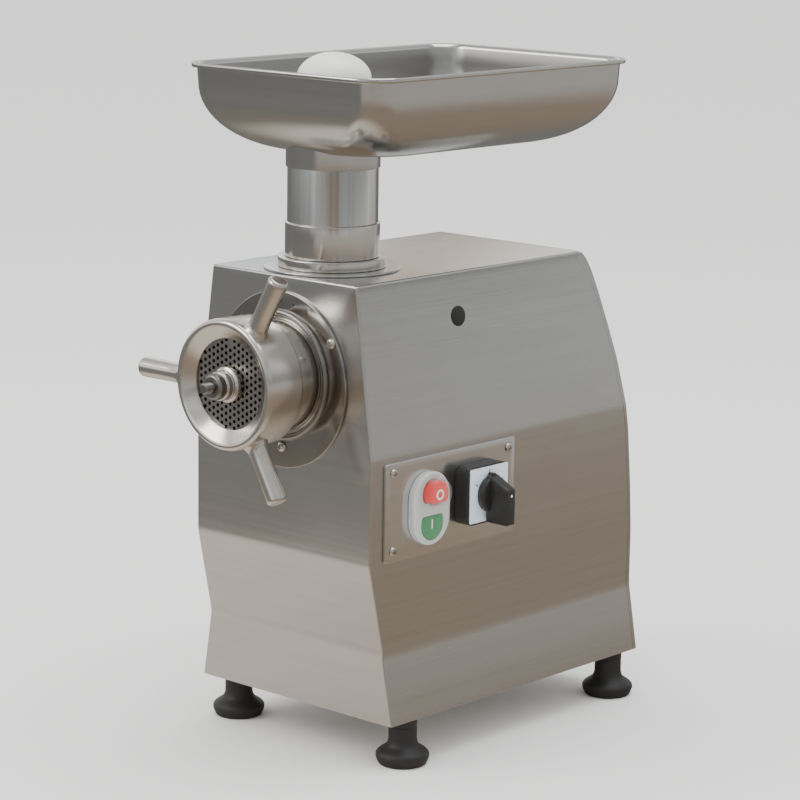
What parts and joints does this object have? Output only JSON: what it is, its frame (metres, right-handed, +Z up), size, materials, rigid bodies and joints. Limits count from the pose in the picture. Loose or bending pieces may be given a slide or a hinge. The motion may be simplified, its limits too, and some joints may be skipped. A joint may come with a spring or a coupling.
{
  "type": "electric meat grinder",
  "caption": "Countertop electric meat grinder: sheet-steel casing with bent sides, front grinding head with armed ring nut, feed tube, top tray with pusher, and side push-buttons and knob.",
  "frame": {"origin": "on the floor under the middle of the bounding box", "axes": "+Z up, the grinding head faces -Y, the push-buttons and the switch are on +X"},
  "size_m": [0.2672, 0.464, 0.5928],
  "materials": {
    "brushed_steel": "fine brushed",
    "polished_steel": "polished",
    "plate_steel": "ground",
    "cast_aluminium": "as cast",
    "machine_steel": "machined",
    "copper_core": "varnished copper winding",
    "motor_paint": "satin",
    "black_plastic": "satin",
    "black_rubber": "matt",
    "white_plastic": "satin",
    "grey_label": "satin",
    "red_plastic": "gloss",
    "green_plastic": "gloss",
    "clear_rubber": "clear, soft"
  },
  "bodies": {
    "machine": {"casing_shell": "brushed_steel", "rear_cover": "brushed_steel", "base_plate": "brushed_steel", "foot_front_left": "black_rubber", "foot_front_right": "black_rubber", "foot_rear_left": "black_rubber", "foot_rear_right": "black_rubber", "hole_plug": "black_rubber", "cable_gland": "black_plastic", "throat_disc": "polished_steel", "throat_collar": "polished_steel", "front_flange": "polished_steel", "flange_screw_1": "polished_steel", "flange_screw_2": "polished_steel", "flange_screw_3": "polished_steel", "gearbox_housing": "cast_aluminium", "gearbox_cover": "cast_aluminium", "output_bearing_front": "machine_steel", "output_bearing_rear": "machine_steel", "shaft_seal": "black_rubber", "idler_bearing_front": "machine_steel", "idler_bearing_rear": "machine_steel", "motor_bearing_front": "machine_steel", "motor_bearing_rear": "machine_steel", "motor_housing": "motor_paint", "stator": "copper_core", "motor_end_cap": "cast_aluminium", "start_capacitor": "motor_paint", "control_plate": "brushed_steel", "control_screw_1": "polished_steel", "control_screw_2": "polished_steel", "control_screw_3": "polished_steel", "control_screw_4": "polished_steel", "button_bezel": "white_plastic", "button_boot": "clear_rubber", "contact_block": "black_plastic", "switch_body": "black_plastic", "switch_plate": "grey_label"},
    "feed_tube": {"feed_tube": "polished_steel"},
    "tray": {"tray": "brushed_steel"},
    "pusher": {"pusher": "white_plastic"},
    "barrel": {"barrel": "polished_steel", "locating_pin": "machine_steel"},
    "cutting_set": {"cutting_plate": "plate_steel"},
    "ring_nut": {"ring_nut": "polished_steel"},
    "worm": {"worm": "polished_steel", "worm_stud": "polished_steel", "knife": "machine_steel", "stud_collar": "polished_steel", "stud_nut": "polished_steel"},
    "output_gear": {"output_gear": "machine_steel", "output_shaft": "machine_steel"},
    "idler": {"idler_gear": "machine_steel", "idler_shaft": "machine_steel"},
    "motor_rotor": {"motor_shaft": "machine_steel", "rotor": "machine_steel", "cooling_fan": "black_plastic"},
    "stop_button": {"stop_button": "red_plastic"},
    "start_button": {"start_button": "green_plastic"},
    "switch_knob": {"switch_knob": "black_plastic"}
  },
  "joints": [
    {"name": "feed_tube_lift", "type": "slide", "parent": "machine", "child": "feed_tube", "axis": [0, 0, 1], "range_m": [0, 0.1]},
    {"name": "tray_lift", "type": "slide", "parent": "feed_tube", "child": "tray", "axis": [0, 0, 1], "range_m": [0, 0.12]},
    {"name": "pusher_lift", "type": "slide", "parent": "tray", "child": "pusher", "axis": [0, 0, 1], "range_m": [0, 0.16]},
    {"name": "barrel_draw", "type": "slide", "parent": "machine", "child": "barrel", "axis": [0, -1, 0], "range_m": [0, 0.13]},
    {"name": "cutting_set_travel", "type": "slide", "parent": "barrel", "child": "cutting_set", "axis": [0, -1, 0], "range_m": [0, 0.032]},
    {"name": "ring_nut_turn", "type": "hinge", "parent": "cutting_set", "child": "ring_nut", "pos_m": [-0.01243, -0.2, 0.3274], "axis": [0, -1, 0], "range_deg": [0, 2880]},
    {"name": "worm_spin", "type": "hinge", "parent": "cutting_set", "child": "worm", "pos_m": [-0.01243, -0.2, 0.3274], "axis": [0, -1, 0], "continuous": true},
    {"name": "output_spin", "type": "hinge", "parent": "machine", "child": "output_gear", "pos_m": [-0.01243, 0.01, 0.3274], "axis": [0, -1, 0], "continuous": true},
    {"name": "idler_spin", "type": "hinge", "parent": "machine", "child": "idler", "pos_m": [-0.01243, 0.01, 0.2554], "axis": [0, -1, 0], "continuous": true},
    {"name": "motor_spin", "type": "hinge", "parent": "machine", "child": "motor_rotor", "pos_m": [-0.01243, 0.1, 0.1924], "axis": [0, -1, 0], "continuous": true},
    {"name": "stop_press", "type": "slide", "parent": "machine", "child": "stop_button", "axis": [-1, 0, 0], "range_m": [0, 0.0025], "stiffness_N_per_m": 400, "springref_m": -0.002},
    {"name": "start_press", "type": "slide", "parent": "machine", "child": "start_button", "axis": [-1, 0, 0], "range_m": [0, 0.0025], "stiffness_N_per_m": 400, "springref_m": -0.002},
    {"name": "switch_turn", "type": "hinge", "parent": "machine", "child": "switch_knob", "pos_m": [0.10858, -0.0124, 0.2247], "axis": [1, 0, 0], "range_deg": [-60, 60]}
  ],
  "couplings": [
    {"joint": "cutting_set_travel", "follows": "ring_nut_turn", "m_per_rad": 0.0006366},
    {"joint": "worm_spin", "follows": "motor_spin", "ratio": 0.13333},
    {"joint": "output_spin", "follows": "motor_spin", "ratio": 0.13333},
    {"joint": "idler_spin", "follows": "motor_spin", "ratio": -0.4}
  ]
}
